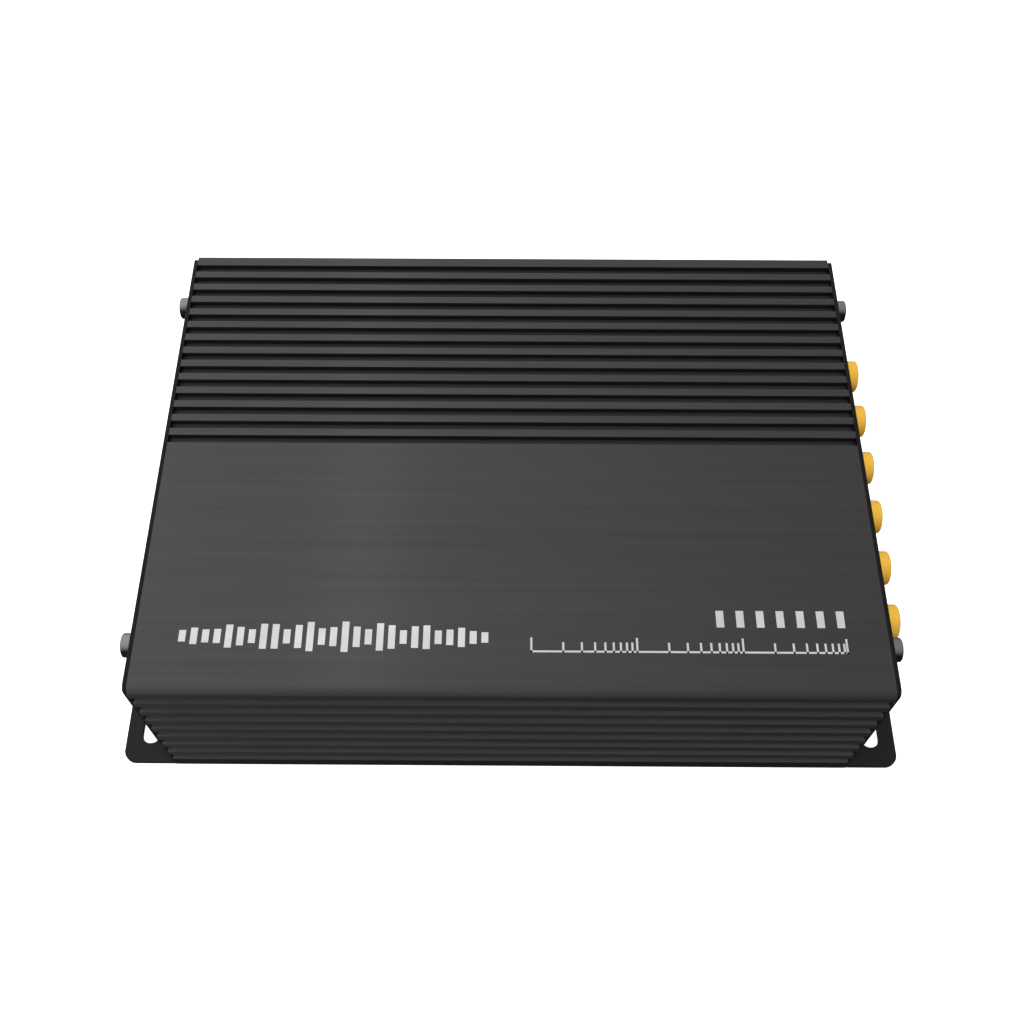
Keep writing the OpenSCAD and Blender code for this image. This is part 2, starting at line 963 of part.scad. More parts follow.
module rca_shell_2() {
    rca_shell(1);
}

module rca_shell_3() {
    rca_shell(2);
}

module rca_shell_4() {
    rca_shell(3);
}

module rca_shell_5() {
    rca_shell(4);
}

module rca_shell_6() {
    rca_shell(5);
}

// The plastic core of one phono socket. Its mouth guides a plug's centre pin
// into the contact.
module rca_insulator(y) {
    outer_r = rca_r - rca_wall_t - 0.02;
    mouth_x = rca_end_x - insulator_recess;
    contact_end = rca_face_x + 1 + contact_l;
    translate([0, y, rca_z])
        difference() {
            rod_x([rca_face_x, 0, 0], outer_r, mouth_x - rca_face_x);
            rod_x([rca_face_x + 1, 0, 0], contact_r + 0.02, contact_l);
            rod_x([rca_face_x - over, 0, 0], tail_r + 0.1, 1 + 2 * over);
            rod_x([contact_end - over, 0, 0], contact_mouth_r, mouth_x - contact_end + 2 * over);
        }
}

module rca_insulators_white() {
    color([0.92, 0.92, 0.9])
        for (i = [0:2:rca_n - 1])
            rca_insulator(rca_ys[i]);
}

module rca_insulators_red() {
    color([0.75, 0.08, 0.07])
        for (i = [1:2:rca_n - 1])
            rca_insulator(rca_ys[i]);
}

// Centre contacts: a tube that a plug's pin enters, and a tail that runs back
// and down to the main board.
module rca_contacts() {
    color([0.85, 0.65, 0.25])
        for (y = rca_ys)
            translate([0, y, 0]) {
                difference() {
                    rod_x([rca_face_x + 1, 0, rca_z], contact_r, contact_l - 0.02);
                    rod_x([rca_face_x + 2, 0, rca_z], contact_bore_r, contact_l);
                }
                rod_x([tail_x, 0, rca_z], tail_r, rca_face_x + 1 - tail_x + over);
                translate([tail_x, 0, board_z - 1.5])
                    cylinder(r = tail_r, h = rca_z - board_z + 1.5);
            }
}

// ---------------------------------------------------------------- left end

// The housing of the wiring harness socket, open to the left, with a key slot
// along its upper wall.
module harness_socket() {
    front_x = -half_l - harness_out;
    key_w = 5;
    color([0.09, 0.09, 0.09])
        difference() {
            along_x(front_x, harness_l)
                translate([harness_y, harness_z])
                    round_rect(harness_w, harness_h, 0.8);
            along_x(front_x - over, harness_deep + over)
                translate([harness_y, harness_z])
                    round_rect(harness_w - 2 * harness_wall, harness_h - 2 * harness_wall, 0.5);
            block([front_x - over, harness_y - key_w / 2, harness_z],
                  [front_x + 8, harness_y + key_w / 2, harness_z + harness_h / 2 - 0.7]);
            harness_pin_places()
                block([front_x + harness_deep - over, -harness_pin_s / 2 - 0.02,
                       -harness_pin_s / 2 - 0.02],
                      [front_x + harness_l + over, harness_pin_s / 2 + 0.02,
                       harness_pin_s / 2 + 0.02]);
        }
}

module harness_pin_places() {
    for (row = [-1, 1], i = [0:harness_pin_n - 1])
        translate([0, harness_y + (i - (harness_pin_n - 1) / 2) * harness_pin_pitch,
                   harness_z + row * harness_row])
            children();
}

module harness_pins() {
    back_x = -half_l - harness_out + harness_l;
    half_s = harness_pin_s / 2;
    color([0.85, 0.84, 0.8])
        for (row = [-1, 1], i = [0:harness_pin_n - 1]) {
            y = harness_y + (i - (harness_pin_n - 1) / 2) * harness_pin_pitch;
            z = harness_z + row * harness_row;
            down_x = back_x + 3 + row * 1.2;
            block([-half_l - harness_out + harness_deep - harness_pin_l, y - half_s, z - half_s],
                  [down_x + half_s, y + half_s, z + half_s]);
            block([down_x - half_s, y - half_s, board_top_z + play],
                  [down_x + half_s, y + half_s, z]);
        }
}

// Fuse holder: a block with a pocket for the fuse's cap and two slots for its
// blades.
module fuse_holder() {
    front_x = -half_l - holder_out;
    pocket_end_x = -half_l - fuse_out + fuse_cap_l + fuse_gap;
    slot_end_x = pocket_end_x + fuse_blade_l + 1.2;
    color([0.12, 0.12, 0.12])
        difference() {
            along_x(front_x, holder_l)
                translate([fuse_y, fuse_z])
                    round_rect(holder_w, holder_h, 0.8);
            block([front_x - over, fuse_y - fuse_w / 2 - fuse_gap, fuse_z - fuse_t / 2 - fuse_gap],
                  [pocket_end_x, fuse_y + fuse_w / 2 + fuse_gap, fuse_z + fuse_t / 2 + fuse_gap]);
            for (s = [-1, 1])
                block([pocket_end_x - over, fuse_y + s * fuse_blade_y - fuse_blade_w / 2 - fuse_gap,
                       fuse_z - 1.2],
                      [slot_end_x, fuse_y + s * fuse_blade_y + fuse_blade_w / 2 + fuse_gap,
                       fuse_z + 1.2]);
            for (s = [-1, 1])
                block([slot_end_x - over, fuse_y + s * fuse_blade_y - 1.6, fuse_z - 1.2],
                      [front_x + holder_l + over, fuse_y + s * fuse_blade_y + 1.6, fuse_z + 1.2]);
            block([front_x + 6, fuse_y - holder_w / 2 - over, fuse_z - holder_h / 2 - over],
                  [front_x + holder_l + over, fuse_y + holder_w / 2 + over,
                   board_top_z + play]);
        }
}

// Spring clips that grip the fuse's blades, each with a tail down to the
// main board.
module fuse_clips() {
    start_x = -half_l - fuse_out + fuse_cap_l + fuse_gap + 0.8;
    end_x = -half_l - holder_out + holder_l + 1.5;
    leaf_gap = fuse_blade_t / 2 + 0.12;
    color([0.82, 0.66, 0.32])
        for (s = [-1, 1])
            translate([0, fuse_y + s * fuse_blade_y, 0]) {
                for (up = [0, 1])
                    mirror([0, 0, up])
                        translate([0, 0, up == 1 ? -fuse_z : fuse_z])
                            block([start_x, -1.5, leaf_gap],
                                  [end_x, 1.5, leaf_gap + clip_t]);
                block([end_x - clip_t, -1.5, board_top_z + play],
                      [end_x, 1.5, fuse_z + leaf_gap + clip_t]);
            }
}

// The moulded cap of the blade fuse, with a wider rim at its outer end.
module fuse_body() {
    rim_l = 3;
    step = 1.2;
    outer_x = -half_l - fuse_out;
    color([0.93, 0.75, 0.12])
        difference() {
            union() {
                along_x(outer_x, rim_l)
                    translate([fuse_y, fuse_z])
                        round_rect(fuse_w, fuse_t, 0.8);
                along_x(outer_x + rim_l - over, fuse_cap_l - rim_l + over)
                    translate([fuse_y, fuse_z])
                        round_rect(fuse_w - step, fuse_t - step, 0.6);
            }
            along_x(outer_x - over, 1)
                translate([fuse_y, fuse_z])
                    round_rect(fuse_w - 8, fuse_t - 2.6, 0.5);
        }
}

module fuse_blades() {
    start_x = -half_l - fuse_out + fuse_cap_l + 0.02;
    chamfer = 0.8;
    color([0.8, 0.8, 0.78])
        for (s = [-1, 1])
            translate([start_x, fuse_y + s * fuse_blade_y, fuse_z - fuse_blade_t / 2])
                linear_extrude(fuse_blade_t)
                    polygon([
                        [0, -fuse_blade_w / 2],
                        [fuse_blade_l - chamfer, -fuse_blade_w / 2],
                        [fuse_blade_l, -fuse_blade_w / 2 + chamfer],
                        [fuse_blade_l, fuse_blade_w / 2 - chamfer],
                        [fuse_blade_l - chamfer, fuse_blade_w / 2],
                        [0, fuse_blade_w / 2]
                    ]);
}

// Data socket: a folded metal shell around a tongue.
module data_socket() {
    z = board_top_z + play + data_h / 2;
    front_x = -half_l - data_out;
    color([0.78, 0.78, 0.8])
        difference() {
            along_x(front_x, data_l)
                translate([data_y, z])
                    round_rect(data_w, data_h, 0.8);
            along_x(front_x - over, data_l - 1)
                translate([data_y, z])
                    round_rect(data_w - 2 * data_wall, data_h - 2 * data_wall, 0.5);
        }
}

module data_tongue() {
    z = board_top_z + play + data_h / 2;
    front_x = -half_l - data_out;
    color([0.1, 0.1, 0.1])
        block([front_x + 1.5, data_y - 2.2, z - 0.5], [front_x + data_l - 1.1, data_y + 2.2, z + 0.5]);
}

// Status lamp: a round lens with a domed end, and two legs to the main board.
module status_lamp() {
    body_x = -half_l - lamp_out + lamp_r;
    color([0.2, 0.45, 0.9])
        translate([0, lamp_y, 0]) {
            rod_x([body_x, 0, lamp_z], lamp_r, lamp_l);
            translate([body_x, 0, lamp_z])
                sphere(lamp_r);
            for (s = [-1, 1])
                block([body_x + lamp_l - 1, s * 0.9 - 0.25, board_top_z + play],
                      [body_x + lamp_l - 0.5, s * 0.9 + 0.25, lamp_z]);
        }
}

// ---------------------------------------------------------------- nodes

heatsink_shell();
bottom_plate();
end_plate_left();
end_plate_right();
end_screws_left();
end_screws_right();
bottom_screws();
insulation_sheet();
standoffs();
board_screws();
main_board();
small_parts();
thermal_pads();
power_ic_1();
power_ic_2();
power_ic_pins();
clamp_bar();
clamp_screws();
reservoir_capacitor_1();
reservoir_capacitor_2();
reservoir_capacitor_3();
channel_capacitors();
input_capacitors();
choke_core();
choke_winding();
supply_inductor();
supply_regulator();
dsp_board();
dsp_chip();
converter_chips();
crystal();
board_headers();
header_pins();
rca_housing_1();
rca_housing_2();
rca_housing_3();
rca_shell_1();
rca_shell_2();
rca_shell_3();
rca_shell_4();
rca_shell_5();
rca_shell_6();
rca_insulators_white();
rca_insulators_red();
rca_contacts();
harness_socket();
harness_pins();
fuse_holder();
fuse_clips();
fuse_body();
fuse_blades();
data_socket();
data_tongue();
status_lamp();
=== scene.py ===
"""Looks of the car amplifier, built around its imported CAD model."""

import json
import math

import bmesh
import bpy
from mathutils import Matrix, Vector


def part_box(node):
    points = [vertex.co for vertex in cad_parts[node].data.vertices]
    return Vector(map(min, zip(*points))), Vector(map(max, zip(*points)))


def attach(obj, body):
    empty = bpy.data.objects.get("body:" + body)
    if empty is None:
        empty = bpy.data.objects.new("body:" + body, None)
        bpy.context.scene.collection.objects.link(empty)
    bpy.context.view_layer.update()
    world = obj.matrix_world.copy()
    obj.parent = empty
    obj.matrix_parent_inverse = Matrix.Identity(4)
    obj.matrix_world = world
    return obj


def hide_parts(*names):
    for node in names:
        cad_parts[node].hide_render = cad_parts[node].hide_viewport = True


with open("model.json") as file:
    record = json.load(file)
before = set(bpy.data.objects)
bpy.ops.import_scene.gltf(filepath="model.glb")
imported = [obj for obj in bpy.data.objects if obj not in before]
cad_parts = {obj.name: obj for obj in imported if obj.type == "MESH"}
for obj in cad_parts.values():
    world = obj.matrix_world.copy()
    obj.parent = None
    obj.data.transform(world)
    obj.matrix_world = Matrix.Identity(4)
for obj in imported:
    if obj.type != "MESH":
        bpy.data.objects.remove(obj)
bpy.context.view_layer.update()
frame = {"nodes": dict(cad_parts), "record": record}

MM = 0.001
BODY = "amplifier"
BRUSH_MAP = "along_extrusion"

# Camera: a normal lens that looks down steeply from above the front edge. Distance in metres.
CAMERA_DISTANCE = 0.3323
CAMERA_ELEVATION = math.radians(60.24)
CAMERA_YAW = math.radians(-0.449)
CAMERA_ROLL = math.radians(-0.081)
CAMERA_AIM_RIGHT = -2.23 * MM
CAMERA_AIM_UP = 10.58 * MM
CAMERA_LENS = 43.05
CAMERA_SHIFT_X = 0.0091
CAMERA_SHIFT_Y = -0.0012

nodes = frame["nodes"]
shell_low, shell_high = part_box("heatsink_shell")


# ------------------------------------------------------------------ materials


def principled(name, color, metallic=0.0, roughness=0.5, specular=0.5, **more):
    """A material with one Principled shader. more sets other sockets by name, with _ for a space."""
    mat = bpy.data.materials.new(name)
    mat.use_nodes = True
    sockets = mat.node_tree.nodes["Principled BSDF"].inputs
    sockets["Base Color"].default_value = (*color, 1.0)
    sockets["Metallic"].default_value = metallic
    sockets["Roughness"].default_value = roughness
    sockets["Specular IOR Level"].default_value = specular
    for key, value in more.items():
        sockets[key.replace("_", " ")].default_value = value
    return mat


def add_node(mat, kind, **values):
    """A new shader node. values sets its sockets by name."""
    made = mat.node_tree.nodes.new("ShaderNode" + kind)
    for key, value in values.items():
        made.inputs[key].default_value = value
    return made


def socket(mat, name):
    """A socket of the material's Principled shader."""
    return mat.node_tree.nodes["Principled BSDF"].inputs[name]


def noise(mat, scale, stretch=(1, 1, 1), detail=3.0, roughness=0.5):
    """A noise over the piece's own space, in features per metre. stretch multiplies it along X, Y and Z."""
    coords = add_node(mat, "TexCoord")
    mapping = add_node(mat, "Mapping")
    mapping.inputs["Scale"].default_value = stretch
    texture = add_node(mat, "TexNoise", Scale=scale, Detail=detail, Roughness=roughness)
    mat.node_tree.links.new(coords.outputs["Object"], mapping.inputs["Vector"])
    mat.node_tree.links.new(mapping.outputs["Vector"], texture.inputs["Vector"])
    return texture.outputs["Fac"]


def link_range(tree, value, low, high, out_low, out_high, smooth=True):
    """Maps low to high onto out_low to out_high, without going past them."""
    made = tree.nodes.new("ShaderNodeMapRange")
    if smooth:
        made.interpolation_type = "SMOOTHSTEP"
    made.inputs["From Min"].default_value = low
    made.inputs["From Max"].default_value = high
    made.inputs["To Min"].default_value = out_low
    made.inputs["To Max"].default_value = out_high
    tree.links.new(value, made.inputs["Value"])
    return made.outputs["Result"]


def spread(mat, value, low, high):
    """Maps the middle of a noise's range onto low to high."""
    return link_range(mat.node_tree, value, 0.3, 0.7, low, high, smooth=False)


def vary_roughness(mat, value, low, high):
    """Lets a noise move the roughness between low and high."""
    mat.node_tree.links.new(spread(mat, value, low, high), socket(mat, "Roughness"))


def mix_colors(mat, factor, first, second):
    """Base colour from first, where factor is 0, to second, where it is 1."""
    mixed = add_node(mat, "Mix")
    mixed.data_type = "RGBA"
    mixed.inputs[6].default_value = (*first, 1.0)
    mixed.inputs[7].default_value = (*second, 1.0)
    mat.node_tree.links.new(factor, mixed.inputs["Factor"])
    mat.node_tree.links.new(mixed.outputs[2], socket(mat, "Base Color"))


def vary_color(mat, value, color, part):
    """Lets a noise make the colour that part darker and lighter."""
    factor = spread(mat, value, 0.0, 1.0)
    mix_colors(mat, factor, shade(color, 1 - part), shade(color, 1 + part))


def bump(mat, value, height):
    """Bump of that height in metres."""
    made = add_node(mat, "Bump", Strength=1.0, Distance=height)
    mat.node_tree.links.new(value, made.inputs["Height"])
    mat.node_tree.links.new(made.outputs["Normal"], socket(mat, "Normal"))


def link_math(tree, operation, first, second):
    """One sum or product. first and second are sockets or numbers."""
    made = tree.nodes.new("ShaderNodeMath")
    made.operation = operation
    for i, value in enumerate((first, second)):
        if isinstance(value, float):
            made.inputs[i].default_value = value
        else:
            tree.links.new(value, made.inputs[i])
    return made.outputs["Value"]


def shade(color, factor):
    """The colour made that many times as bright."""
    return tuple(c * factor for c in color)


def brushed_anodised(name, grain):
    """Black anodised aluminium, brushed along X, so that highlights spread across the brushing.

    grain is how strong the brushing is, with 1 for the top's.
    """
    color = (0.046, 0.046, 0.046)
    roughness = 0.27
    quarter_turn = 0.25
    mat = principled(name, color, metallic=0.85, roughness=roughness)
    socket(mat, "Anisotropic").default_value = 0.9
    socket(mat, "Anisotropic Rotation").default_value = quarter_turn
    along = add_node(mat, "Tangent")
    along.direction_type = "UV_MAP"
    along.uv_map = BRUSH_MAP
    mat.node_tree.links.new(along.outputs["Tangent"], socket(mat, "Tangent"))
    fine = noise(mat, 1.0, stretch=(60, 7000, 7000), detail=4.0)
    broad = noise(mat, 1.0, stretch=(12, 700, 700), detail=2.0)
    vary_color(mat, broad, color, 0.06 * grain)
    vary_roughness(mat, fine, roughness - 0.02 * grain, roughness + 0.02 * grain)
    bump(mat, fine, 0.0011 * MM * grain)
    return mat


def plain_anodised(name, color):
    """The same metal as it leaves the die, with faint drawn lines."""
    mat = principled(name, color, roughness=0.48, specular=0.32)
    lines = noise(mat, 1.0, stretch=(20, 2500, 2500), detail=3.0)
    vary_color(mat, lines, color, 0.06)
    vary_roughness(mat, lines, 0.44, 0.54)
    bump(mat, lines, 0.001 * MM)
    return mat


def powder_coat(name, color, specular):
    """Black powder coat: a fine, shallow orange peel."""
    mat = principled(name, color, roughness=0.48, specular=specular)
    peel = noise(mat, 1800.0, detail=2.0)
    mix_colors(mat, spread(mat, peel, 0.0, 1.0), shade(color, 0.8), shade(color, 1.25))
    vary_roughness(mat, peel, 0.43, 0.55)
    bump(mat, peel, 0.008 * MM)
    return mat


def black_oxide():
    """Oiled black oxide on steel, with a painted highlight: lighter where it faces up, in place of the
    overhead light's reflection.
    """
    oxide_black = (0.012, 0.012, 0.013)
    painted_highlight = (0.17, 0.17, 0.17)
    mat = principled("black_oxide_steel", oxide_black, metallic=1.0, roughness=0.25)
    geometry = add_node(mat, "NewGeometry")
    split = add_node(mat, "SeparateXYZ")
    mat.node_tree.links.new(geometry.outputs["Normal"], split.inputs["Vector"])
    # Painted highlight: the colour turns lighter as the surface faces up, standing in for the light
    # overhead.
    painted_highlight_mask = link_range(mat.node_tree, split.outputs["Z"], 0.55, 0.95, 0.0, 1.0)
    mix_colors(mat, painted_highlight_mask, oxide_black, painted_highlight)
    stain = noise(mat, 900.0, detail=3.0)
    vary_roughness(mat, stain, 0.2, 0.3)
    bump(mat, stain, 0.001 * MM)
    return mat


def metal(name, color, roughness):
    """A plain metal part with slight stains and a fine grain."""
    mat = principled(name, color, metallic=1.0, roughness=roughness)
    stain = noise(mat, 350.0, detail=3.0)
    fine = noise(mat, 1500.0, detail=3.0)
    vary_color(mat, stain, color, 0.06)
    vary_roughness(mat, fine, roughness * 0.85, roughness * 1.2)
    bump(mat, fine, 0.002 * MM)
    return mat


def gold_plate():
    """Soft matt gold plating."""
    color = (0.98, 0.57, 0.06)
    mat = principled("gold_plate", color, metallic=0.6, roughness=0.45)
    fine = noise(mat, 600.0, detail=3.0)
    vary_color(mat, fine, color, 0.02)
    vary_roughness(mat, fine, 0.38, 0.52)
    bump(mat, fine, 0.0005 * MM)
    return mat


def moulded(name, color, roughness, specular=0.4, depth=0.004, **more):
    """A plastic, ink, fibre or ceramic with a fine even grain that is depth mm deep."""
    mat = principled(name, color, roughness=roughness, specular=specular, **more)
    fine = noise(mat, 2500.0, detail=2.0)
    broad = noise(mat, 200.0, detail=2.0)
    vary_color(mat, broad, color, 0.08)
    vary_roughness(mat, fine, roughness * 0.9, roughness * 1.12)
    bump(mat, fine, depth * MM)
    return mat


def circuit_board(name, color, trace):
    """Solder mask over faint copper tracks that run square to the board's edges."""
    mat = principled(name, color, roughness=0.3, specular=0.5)
    tracks = add_node(mat, "TexBrick", Scale=260.0)
    coords = add_node(mat, "TexCoord")
    mat.node_tree.links.new(coords.outputs["Object"], tracks.inputs["Vector"])
    tracks.inputs["Color1"].default_value = (*color, 1.0)
    tracks.inputs["Color2"].default_value = (*shade(color, 0.85), 1.0)
    tracks.inputs["Mortar"].default_value = (*trace, 1.0)
    tracks.inputs["Mortar Size"].default_value = 0.03
    mat.node_tree.links.new(tracks.outputs["Color"], socket(mat, "Base Color"))
    cloth = noise(mat, 3000.0, detail=1.0)
    vary_roughness(mat, cloth, 0.25, 0.38)
    bump(mat, cloth, 0.003 * MM)
    return mat


brushed_top = brushed_anodised("brushed_top", 1.0)
brushed_wall = brushed_anodised("brushed_wall", 0.25)
# Painted light: the ledges in the side grooves get a lighter colour than the metal's own, standing in for
# the light they catch from the front.
anodised = plain_anodised("anodised_ledge_painted_light", (0.076, 0.076, 0.076))
# Painted shade: the top groove floors get a much darker colour than the metal's own, standing in for the
# shade in the recesses.
groove_painted_shade = plain_anodised("anodised_groove_painted_shade", (0.018, 0.018, 0.018))
paint = powder_coat("powder_coat", (0.0058, 0.0058, 0.0058), 0.18)
plate_paint = powder_coat("end_plate_coat", (0.004, 0.004, 0.004), 0.11)
ink = moulded("printed_ink", (0.58, 0.58, 0.58), 0.5, depth=0.001)
grey_ink = moulded("printed_ink_grey", (0.50, 0.50, 0.50), 0.5, depth=0.001)

SLOT_MATERIALS = {
    "black_extrusion": anodised,
    "black_sheet": paint,
    "black_screw": black_oxide(),
    "zinc_steel": metal("zinc_plate", (0.62, 0.62, 0.64), 0.3),
    "brass_turned": metal("turned_brass", (0.78, 0.58, 0.26), 0.28),
    "gold_plate": gold_plate(),
    "tin_plate": metal("tin_plate", (0.78, 0.78, 0.75), 0.35),
    "board_green": circuit_board("board_green", (0.02, 0.14, 0.05), (0.05, 0.24, 0.09)),
    "board_blue": circuit_board("board_blue", (0.01, 0.05, 0.16), (0.03, 0.12, 0.28)),
    "fibre_sheet": moulded("fibre_sheet", (0.62, 0.56, 0.42), 0.8, specular=0.2, depth=0.02),
    "chip_black": moulded("chip_epoxy", (0.02, 0.02, 0.022), 0.55, depth=0.006),
    "connector_black": moulded("connector_nylon", (0.014, 0.014, 0.014), 0.45),
    "socket_white": moulded("socket_white", (0.80, 0.80, 0.77), 0.32),
    "socket_red": moulded("socket_red", (0.55, 0.015, 0.012), 0.32),
    "capacitor_sleeve": moulded("capacitor_sleeve", (0.02, 0.022, 0.06), 0.28),
    "ceramic_part": moulded("ceramic_part", (0.40, 0.28, 0.17), 0.4),
    "copper_wire": metal("copper_wire", (0.80, 0.30, 0.10), 0.25),
    "powder_core": moulded("powder_core", (0.58, 0.52, 0.08), 0.5, depth=0.02),
    "thermal_sheet": moulded("thermal_sheet", (0.42, 0.46, 0.50), 0.7, specular=0.2),
    "fuse_yellow": moulded("fuse_yellow", (0.85, 0.55, 0.02), 0.2, Transmission_Weight=0.25),
    "lamp_blue": moulded("lamp_lens", (0.25, 0.45, 0.95), 0.12, Transmission_Weight=0.6),
}
SLOT_OF = {row["node"]: row["material_slot"] for row in frame["record"]["subparts"]}

# The extrusion's materials by place, and an index for each: painted shade in the top groove floors and on
# the foot strip, painted light on the ledges.
SHELL_MATERIALS = (brushed_top, brushed_wall, groove_painted_shade, anodised, plate_paint)
TOP, WALL, TOP_GROOVE, LEDGE, FOOT_PAINTED_SHADE = range(len(SHELL_MATERIALS))


# --------------------------------------------------------------------- pieces


def link_mesh(bm, name, *materials):
    """Makes a piece out of a bmesh and puts it in the scene."""
    mesh = bpy.data.meshes.new(name)
    bm.normal_update()
    bm.to_mesh(mesh)
    bm.free()
    for mat in materials:
        mesh.materials.append(mat)
    piece = bpy.data.objects.new(name, mesh)
    bpy.context.scene.collection.objects.link(piece)
    return piece


def welded_copy(node):
    """The CAD node's mesh with its seams welded and its flat faces joined."""
    bm = bmesh.new()
    bm.from_mesh(nodes[node].data)
    bmesh.ops.remove_doubles(bm, verts=bm.verts, dist=0.0005 * MM)
    bmesh.ops.dissolve_limit(
        bm, angle_limit=math.radians(0.5), verts=bm.verts, edges=bm.edges
    )
    return bm


def ease_edges(bm, width, shortest=0.0):
    """Rounds the sharp edges that run further than shortest along X."""
    sharp = [
        edge
        for edge in bm.edges
        if edge.is_manifold
        and edge.calc_face_angle() > math.radians(35)
        and abs(edge.verts[0].co.x - edge.verts[1].co.x) >= shortest
    ]
    bmesh.ops.bevel(
        bm,
        geom=sharp,
        offset=width,
        segments=2,
        profile=0.5,
        affect="EDGES",
        clamp_overlap=False,
    )


def shade_rounds(piece):
    """Smooth shading on rounded faces only. Flat faces keep their own normals."""
    piece.data.set_sharp_from_angle(angle=math.radians(30))
    weighted = piece.modifiers.new("weighted_normals", "WEIGHTED_NORMAL")
    weighted.mode = "FACE_AREA"
    weighted.weight = 100
    weighted.keep_sharp = True


def shell_material_index(face):
    """Which of the extrusion's materials a face has, painted light and shade among them."""
    reach = 0.2 * MM
    groove_zone = 3.0 * MM
    foot_h = 3.5 * MM
    middle = face.calc_center_median()
    if middle.z > shell_high.z - reach:
        return TOP
    on_side = middle.y < shell_low.y + reach or middle.y > shell_high.y - reach
    # Painted shade: the foot strip of the front and back takes the end plates' black, standing in for the
    # darker reflection near the floor.
    if on_side and middle.z < shell_low.z + foot_h:
        return FOOT_PAINTED_SHADE
    level = face.normal.z > 0.9
    if on_side or not level:
        return WALL
    # Level faces in the top grooves take painted shade, the lower ledges painted light.
    if middle.z > shell_high.z - groove_zone:
        return TOP_GROOVE
    return LEDGE


def make_shell():
    """The extrusion with eased edges, its materials by place with their painted light and shade, and a UV
    map for the brushing.
    """
    bm = welded_copy("heatsink_shell")
    ease_edges(bm, 0.14 * MM, shortest=100 * MM)
    uv = bm.loops.layers.uv.new(BRUSH_MAP)
    metres_per_uv = 0.2
    for face in bm.faces:
        face.material_index = shell_material_index(face)
        face.smooth = True
        for loop in face.loops:
            co = loop.vert.co
            loop[uv].uv = (co.x / metres_per_uv, (co.y + co.z) / metres_per_uv)
    piece = link_mesh(bm, "heatsink_body", *SHELL_MATERIALS)
    shade_rounds(piece)
    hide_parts("heatsink_shell")
    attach(piece, BODY)


def refine(node, width=0.0, body=BODY, mat=None):
    """Replaces a CAD node by a copy with smooth rounds and, where width is given, eased edges."""
    slot = SLOT_OF[node]
    bm = welded_copy(node)
    if width:
        ease_edges(bm, width)
    for face in bm.faces:
        face.smooth = True
    piece = link_mesh(bm, node + "_finished", mat or SLOT_MATERIALS[slot])
    shade_rounds(piece)
    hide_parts(node)
    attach(piece, body)


def print_shapes(name, shapes, mat):
    """Thin ink shapes on the top. Each shape is a box (low x, low y, high x, high y)."""
    ink_t = 0.02 * MM
    bm = bmesh.new()
    for low_x, low_y, high_x, high_y in shapes:
        size = (high_x - low_x, high_y - low_y, ink_t)
        middle = ((low_x + high_x) / 2, (low_y + high_y) / 2, shell_high.z + ink_t / 2)
        place = Matrix.Translation(middle) @ Matrix.Diagonal((*size, 1.0))
        bmesh.ops.create_cube(bm, size=1.0, matrix=place)
    piece = link_mesh(bm, name, mat)
    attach(piece, BODY)


def print_level_bars():
    """A plain row of level bars at the left: a swell over its length, rippled from bar to bar."""
    start_x = -72.4 * MM
    end_x = -4.0 * MM
    middle_y = -47.6 * MM
    tallest = 7.2 * MM
    count = 27
    pitch = (end_x - start_x) / count
    bar_w = pitch * 0.6
    bars = []
    for i in range(count):
        t = (i + 0.5) / count
        swell = math.sin(math.pi * t) ** 0.6
        ripple = 0.62 + 0.38 * math.sin(i * 1.9)
        height = tallest * (0.3 + 0.7 * swell * ripple)
        x = start_x + i * pitch
        bars.append((x, middle_y - height / 2, x + bar_w, middle_y + height / 2))
    print_shapes("printed_level_bars", bars, ink)


def print_scale():
    """A plain logarithmic scale at the right, with an upright mark for each channel above it."""
    start_x = 4.1 * MM
    end_x = 72.9 * MM
    base_y = -51.0 * MM
    line_w = 0.45 * MM
    long_tick = 3.5 * MM
    short_tick = 2.4 * MM
    decades = 3
    shapes = [(start_x, base_y, end_x, base_y + line_w)]
    for decade in range(decades):
        for step in range(1, 10):
            x = start_x + (end_x - start_x) * (decade + math.log10(step)) / decades
            tick = long_tick if step == 1 else short_tick
            shapes.append((x, base_y, x + line_w, base_y + tick))
    shapes.append((end_x - line_w, base_y, end_x, base_y + long_tick))
    channels = 7
    mark_w = 1.7 * MM
    mark_h = 4.0 * MM
    mark_pitch = 4.4 * MM
    mark_y = -44.9 * MM
    for i in range(channels):
        x = end_x - mark_w - i * mark_pitch
        shapes.append((x, mark_y, x + mark_w, mark_y + mark_h))
    print_shapes("printed_scale", shapes, grey_ink)


def dress_cad_nodes():
    """Gives every CAD node its slot's material."""
    for node, slot in SLOT_OF.items():
        piece = nodes[node]
        mat = SLOT_MATERIALS[slot]
        piece.data.materials.clear()
        piece.data.materials.append(mat)


dress_cad_nodes()
make_shell()
refine("bottom_plate", 0.15 * MM)
refine("end_plate_left", 0.12 * MM, mat=plate_paint)
refine("end_plate_right", 0.12 * MM, mat=plate_paint)
for node in ("end_screws_left", "end_screws_right", "bottom_screws", "rca_insulators_white",
             "rca_insulators_red", "rca_contacts", "harness_socket", "fuse_holder", "data_socket",
             "status_lamp"):
    refine(node)
for i in range(1, 7):
    refine(f"rca_shell_{i}")
refine("fuse_body", 0.2 * MM, body="fuse")
print_level_bars()
print_scale()


# ---------------------------------------------------------------------- stage


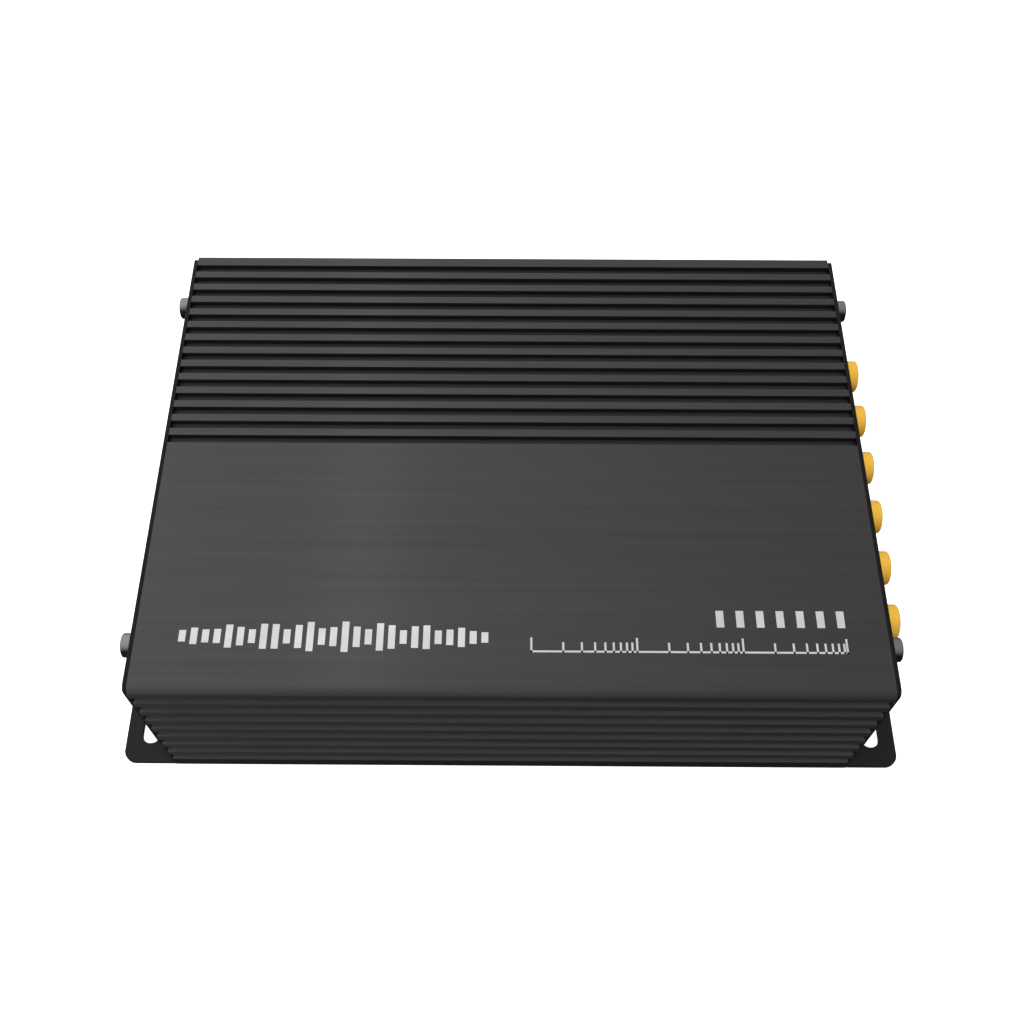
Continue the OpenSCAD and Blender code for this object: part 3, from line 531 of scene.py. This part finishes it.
def make_camera():
    """The main camera, placed by its distance and angles from the point it aims at."""
    flat_ahead = Vector((math.sin(CAMERA_YAW), math.cos(CAMERA_YAW), 0))
    right = Vector((math.cos(CAMERA_YAW), -math.sin(CAMERA_YAW), 0))
    rise, level = math.sin(CAMERA_ELEVATION), math.cos(CAMERA_ELEVATION)
    ahead = flat_ahead * level - Vector((0, 0, rise))
    up = flat_ahead * rise + Vector((0, 0, level))
    place = right * CAMERA_AIM_RIGHT + up * CAMERA_AIM_UP - ahead * CAMERA_DISTANCE
    turned_right = right * math.cos(CAMERA_ROLL) + up * math.sin(CAMERA_ROLL)
    turned_up = up * math.cos(CAMERA_ROLL) - right * math.sin(CAMERA_ROLL)
    data = bpy.data.cameras.new("camera")
    data.lens = CAMERA_LENS
    data.shift_x = CAMERA_SHIFT_X
    data.shift_y = CAMERA_SHIFT_Y
    data.clip_start = 0.01
    data.clip_end = 100
    camera = bpy.data.objects.new("camera", data)
    turn = Matrix((turned_right, turned_up, -ahead)).transposed()
    camera.matrix_world = Matrix.Translation(place) @ turn.to_4x4()
    bpy.context.scene.collection.objects.link(camera)
    bpy.context.scene.camera = camera


def make_floor():
    """A white sweep: a floor whose rim turns up all round. It glows a little, as lit paper does."""
    flat_r = 5.0
    rim_r = 4.0
    rim_steps = 12
    sides = 64
    bm = bmesh.new()
    rings = [bmesh.ops.create_circle(bm, cap_ends=True, segments=sides, radius=flat_r)["verts"]]
    for i in range(1, rim_steps + 1):
        turn = math.radians(90) * i / rim_steps
        radius = flat_r + rim_r * math.sin(turn)
        height = rim_r * (1 - math.cos(turn))
        place = Matrix.Translation((0, 0, height))
        made = bmesh.ops.create_circle(bm, segments=sides, radius=radius, matrix=place)
        rings.append(made["verts"])
    for inner, outer in zip(rings, rings[1:]):
        for i in range(sides):
            j = (i + 1) % sides
            bm.faces.new((inner[i], inner[j], outer[j], outer[i]))
    bmesh.ops.recalc_face_normals(bm, faces=bm.faces)
    mat = principled("paper", (0.85, 0.85, 0.85), roughness=0.9, specular=0.1)
    socket(mat, "Emission Color").default_value = (1, 1, 1, 1)
    socket(mat, "Emission Strength").default_value = 0.9
    floor = link_mesh(bm, "floor", mat)
    floor.visible_glossy = False
    floor.visible_diffuse = False
    floor.visible_shadow = False


def make_world():
    """A soft white dome, brightest high up at the back and dim below the horizon.

    It is a little brighter at the left and dimmer at the right. The ranges are parts of the unit
    direction toward the light: X to the right, Z up.
    """
    strength = 1.5
    brightest = (0, 0.5, 0.87)
    opposite = 0.38
    ground = 0.2
    left_gain = 0.2
    right = 0.6
    world = bpy.data.worlds.new("studio")
    bpy.context.scene.world = world
    world.use_nodes = True
    tree = world.node_tree
    toward = tree.nodes.new("ShaderNodeTexCoord").outputs["Generated"]
    facing = tree.nodes.new("ShaderNodeVectorMath")
    facing.operation = "DOT_PRODUCT"
    facing.inputs[1].default_value = brightest
    tree.links.new(toward, facing.inputs[0])
    dome = link_range(tree, facing.outputs["Value"], -1.0, 1.0, opposite, 1.0, smooth=False)
    split = tree.nodes.new("ShaderNodeSeparateXYZ")
    tree.links.new(toward, split.inputs["Vector"])
    height = link_range(tree, split.outputs["Z"], -0.95, -0.2, ground, 1.0)
    dome = link_math(tree, "MULTIPLY", dome, height)
    left = link_range(tree, split.outputs["X"], -0.35, -0.15, left_gain, 0.0)
    side = link_range(tree, split.outputs["X"], -0.2, 0.4, 1.0, right)
    side = link_math(tree, "ADD", left, side)
    light = link_math(tree, "MULTIPLY", dome, side)
    light = link_math(tree, "MULTIPLY", light, strength)
    background = tree.nodes["Background"]
    tree.links.new(light, background.inputs["Strength"])
    background.inputs["Color"].default_value = (1, 1, 1, 1)


def area_light(name, place, width, length, radiance):
    """A flat light that faces straight down, with its length along Y."""
    data = bpy.data.lights.new(name, "AREA")
    data.shape = "RECTANGLE"
    data.size = width
    data.size_y = length
    data.energy = radiance * math.pi * width * length
    light = bpy.data.objects.new(name, data)
    light.location = place
    bpy.context.scene.collection.objects.link(light)


make_camera()
make_floor()
make_world()
# The strip gives the top its soft bright band, a little left of the middle.
area_light("strip", place=(-0.136, 0.35, 0.8), width=0.05, length=0.8, radiance=0.75)

scene = bpy.context.scene
scene.view_settings.view_transform = "Standard"
scene.view_settings.look = "None"
